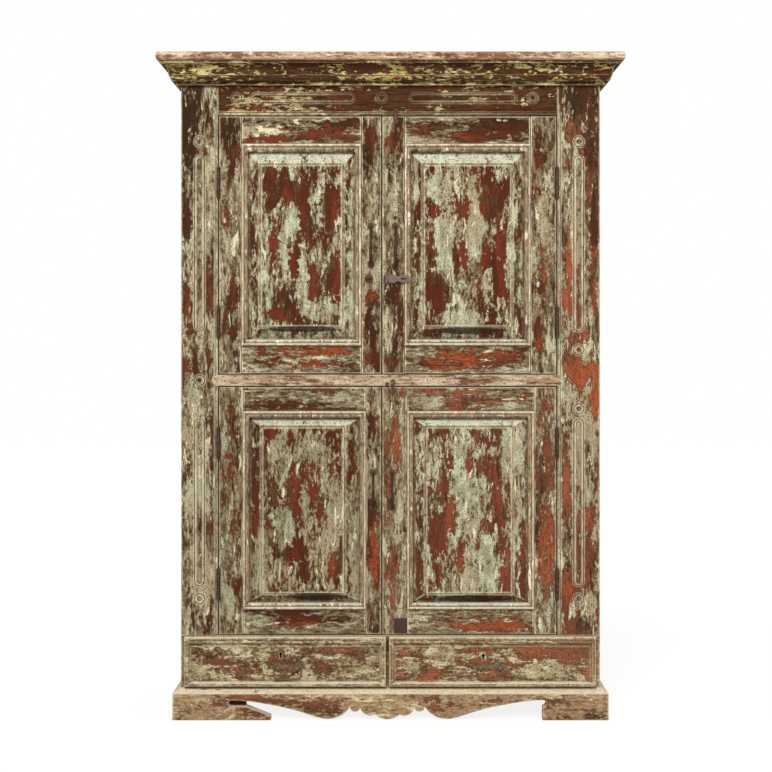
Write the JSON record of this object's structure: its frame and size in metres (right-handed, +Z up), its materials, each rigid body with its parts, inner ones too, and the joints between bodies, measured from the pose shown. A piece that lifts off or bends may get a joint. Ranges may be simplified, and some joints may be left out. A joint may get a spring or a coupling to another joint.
{
  "type": "painted cupboard",
  "caption": "Tall painted wooden cupboard with fielded-panel doors in two tiers over drawers, coved cornice, carved posts and scalloped plinth.",
  "frame": {"origin": "on the floor, under the middle of the cornice", "axes": "+Z up, +X to the right seen from the front, -Y out of the front"},
  "size_m": [1.328, 0.564, 1.9],
  "materials": {
    "painted_doors": "flaking green and cream paint over brick red",
    "cornice_brown": "worn dark brown paint with olive patches",
    "bare_wood": "bare weathered wood",
    "khaki_paint": "worn khaki paint with dull red patches",
    "inside_wood": "unpainted brown hardwood",
    "dark_iron": "rusted dark iron",
    "grey_iron": "worn grey iron"
  },
  "bodies": {
    "carcass": {"plinth_front": "khaki_paint", "plinth_sides": "khaki_paint", "plinth_back": "inside_wood", "plinth_corner_blocks": "inside_wood", "base_bottom": "khaki_paint", "base_sides": "khaki_paint", "base_divider": "khaki_paint", "base_back": "inside_wood", "lower_floor": "khaki_paint", "post_front_left": "painted_doors", "post_front_right": "painted_doors", "posts_rear": "inside_wood", "frieze_rail": "cornice_brown", "mid_rail": "bare_wood", "side_rails": "painted_doors", "side_panels": "painted_doors", "back_planks": "inside_wood", "mid_floor": "inside_wood", "shelves": "inside_wood", "shelf_battens": "inside_wood", "cornice_top_board": "bare_wood", "cornice_front_moulding": "cornice_brown", "cornice_side_mouldings": "cornice_brown", "hinge_fixed_leaves": "dark_iron", "hinge_pins": "dark_iron", "hook_studs": "dark_iron"},
    "upper_left_door": {"upper_left_door_frame": "painted_doors", "upper_left_door_panel": "painted_doors", "upper_left_panel_moulding": "painted_doors", "upper_left_hinge_leaves": "dark_iron", "upper_left_handle": "dark_iron", "hasp_staple": "dark_iron"},
    "upper_right_door": {"upper_right_door_frame": "painted_doors", "upper_right_door_panel": "painted_doors", "upper_right_panel_moulding": "painted_doors", "upper_right_hinge_leaves": "dark_iron", "upper_right_handle": "dark_iron", "hasp_hinge_plate": "grey_iron"},
    "lower_left_door": {"lower_left_door_frame": "painted_doors", "lower_left_door_panel": "painted_doors", "lower_left_panel_moulding": "painted_doors", "lower_left_hinge_leaves": "dark_iron", "lower_left_handle": "dark_iron"},
    "lower_right_door": {"lower_right_door_frame": "painted_doors", "lower_right_door_panel": "painted_doors", "lower_right_panel_moulding": "painted_doors", "lower_right_hinge_leaves": "dark_iron", "lower_right_handle": "dark_iron"},
    "hasp": {"hasp": "grey_iron"},
    "upper_hook": {"upper_right_hook": "dark_iron"},
    "lower_hook": {"lower_right_hook": "dark_iron"},
    "left_drawer": {"left_drawer_front": "khaki_paint", "left_drawer_box": "inside_wood", "left_pull_plate": "dark_iron"},
    "left_bail": {"left_pull_bail": "dark_iron"},
    "right_drawer": {"right_drawer_front": "khaki_paint", "right_drawer_box": "inside_wood", "right_pull_plate": "dark_iron"},
    "right_bail": {"right_pull_bail": "dark_iron"}
  },
  "joints": [
    {"name": "upper_left_door_swing", "type": "hinge", "parent": "carcass", "child": "upper_left_door", "pos_m": [-0.4925, -0.2205, 1.356], "axis": [0, 0, -1], "range_deg": [0, 165]},
    {"name": "upper_right_door_swing", "type": "hinge", "parent": "carcass", "child": "upper_right_door", "pos_m": [0.4765, -0.2205, 1.356], "axis": [0, 0, 1], "range_deg": [0, 165]},
    {"name": "lower_left_door_swing", "type": "hinge", "parent": "carcass", "child": "lower_left_door", "pos_m": [-0.4925, -0.2205, 0.5955], "axis": [0, 0, -1], "range_deg": [0, 165]},
    {"name": "lower_right_door_swing", "type": "hinge", "parent": "carcass", "child": "lower_right_door", "pos_m": [0.4765, -0.2205, 0.5955], "axis": [0, 0, 1], "range_deg": [0, 165]},
    {"name": "left_drawer_slide", "type": "slide", "parent": "carcass", "child": "left_drawer", "axis": [0, -1, 0], "range_m": [0, 0.34]},
    {"name": "left_bail_swing", "type": "hinge", "parent": "left_drawer", "child": "left_bail", "pos_m": [-0.294, -0.2355, 0.15], "axis": [-1, 0, 0], "range_deg": [0, 100]},
    {"name": "right_drawer_slide", "type": "slide", "parent": "carcass", "child": "right_drawer", "axis": [0, -1, 0], "range_m": [0, 0.34]},
    {"name": "right_bail_swing", "type": "hinge", "parent": "right_drawer", "child": "right_bail", "pos_m": [0.2855, -0.2355, 0.15], "axis": [-1, 0, 0], "range_deg": [0, 100]},
    {"name": "hasp_swing", "type": "hinge", "parent": "upper_right_door", "child": "hasp", "pos_m": [-0.0115, -0.23, 1.259], "axis": [0, 0, -1], "range_deg": [0, 180]},
    {"name": "upper_hook_turn", "type": "hinge", "parent": "upper_right_door", "child": "upper_hook", "pos_m": [0.0145, -0.218, 1.71], "axis": [0, -1, 0], "range_deg": [-120, 35]},
    {"name": "lower_hook_turn", "type": "hinge", "parent": "lower_right_door", "child": "lower_hook", "pos_m": [0.0065, -0.218, 0.935], "axis": [0, -1, 0], "range_deg": [-120, 35]}
  ]
}
